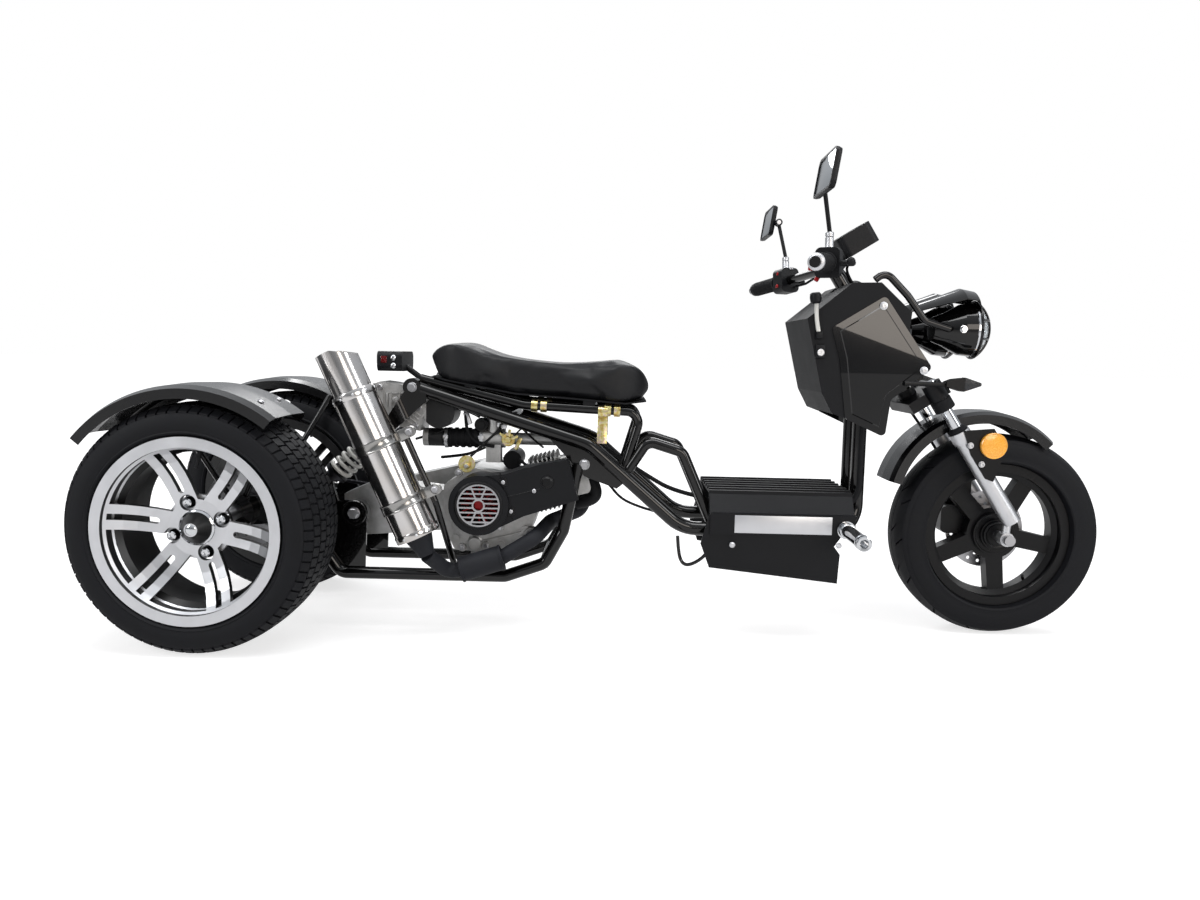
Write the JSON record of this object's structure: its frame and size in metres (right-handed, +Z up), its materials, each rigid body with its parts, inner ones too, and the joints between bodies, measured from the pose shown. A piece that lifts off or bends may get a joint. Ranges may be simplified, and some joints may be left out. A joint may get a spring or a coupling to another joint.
{
  "type": "trike scooter",
  "caption": "Three-wheeled scooter with one steered front wheel, two wide rear wheels on a live axle, an open tube frame and a rear engine",
  "frame": {"origin": "on the ground, midway along the vehicle's length, in its middle plane", "axes": "+X forward, +Y to the vehicle's left, +Z up; the steering stands straight ahead"},
  "size_m": [2.2628, 0.8432, 1.0345],
  "materials": {
    "black_paint": "gloss black",
    "black_plastic": "satin black",
    "vinyl": "grained black vinyl",
    "zinc_clamp": "yellow zinc plate",
    "cast_alloy": "cast, satin",
    "red_fan": "red",
    "grille_steel": "bright wire",
    "hose_rubber": "matte black",
    "polished_steel": "polished stainless",
    "black_steel": "heat-proof satin black",
    "white_spring": "white",
    "chrome": "bright chrome",
    "silver_alloy": "machined and lacquered",
    "black_alloy": "satin black lacquer",
    "lens": "clear domed lens",
    "amber_lens": "amber and clear lens",
    "tyre": "dark rubber"
  },
  "bodies": {
    "chassis": {"air_filter": "cast_alloy", "belt_case": "cast_alloy", "carburettor": "black_plastic", "cooling_fan": "red_fan", "crankcase": "cast_alloy", "cylinder": "cast_alloy", "drive_chain": "black_steel", "drive_sprocket": "black_steel", "engine_cradle": "black_paint", "exhaust_pipe": "black_steel", "fairing_panels": "black_paint", "fan_cover": "black_plastic", "fan_grille": "grille_steel", "floorboard": "black_plastic", "foot_pegs": "chrome", "front_signals": "amber_lens", "gear_case": "cast_alloy", "headlamps": "chrome", "intake_hose": "hose_rubber", "lamp_brackets": "black_paint", "lamp_guards": "black_paint", "lamp_lenses": "lens", "leg_shield": "black_plastic", "loom_hose": "hose_rubber", "main_frame": "black_paint", "muffler": "polished_steel", "muffler_stay": "black_plastic", "rear_fenders": "black_paint", "seat": "vinyl", "seat_clamps": "zinc_clamp", "seat_pan": "black_plastic", "seat_rail": "black_paint", "shock_bodies": "black_steel", "shock_springs": "white_spring", "side_skirts": "black_plastic", "starter_motor": "cast_alloy", "step_hoops": "black_paint", "swing_arm": "black_paint", "tail_lamp": "black_plastic"},
    "steering": {"fork_crown": "black_paint", "fork_stanchions": "chrome", "fork_sliders": "silver_alloy", "axle_pin": "silver_alloy", "reflector_brackets": "black_paint", "front_fender": "black_paint", "handlebar": "black_paint", "bar_grips": "hose_rubber", "bar_controls": "black_plastic", "control_cables": "hose_rubber", "mirrors": "black_plastic", "instrument": "black_plastic", "brake_caliper": "cast_alloy"},
    "front_wheel": {"front_rim": "black_alloy", "front_tyre": "tyre", "front_disc": "silver_alloy"},
    "rear_wheels": {"rear_axle": "silver_alloy", "rear_rims": "silver_alloy", "rear_tyres": "tyre"}
  },
  "joints": [
    {"name": "steer", "type": "hinge", "parent": "chassis", "child": "steering", "pos_m": [0.69, 0, 0.545], "axis": [-0.5446, 0, 0.8387], "range_deg": [-38, 38]},
    {"name": "front_wheel_spin", "type": "hinge", "parent": "steering", "child": "front_wheel", "pos_m": [0.8955, 0, 0.236], "axis": [0, 1, 0], "continuous": true},
    {"name": "rear_axle_spin", "type": "hinge", "parent": "chassis", "child": "rear_wheels", "pos_m": [-0.8695, 0, 0.262], "axis": [0, 1, 0], "continuous": true}
  ]
}
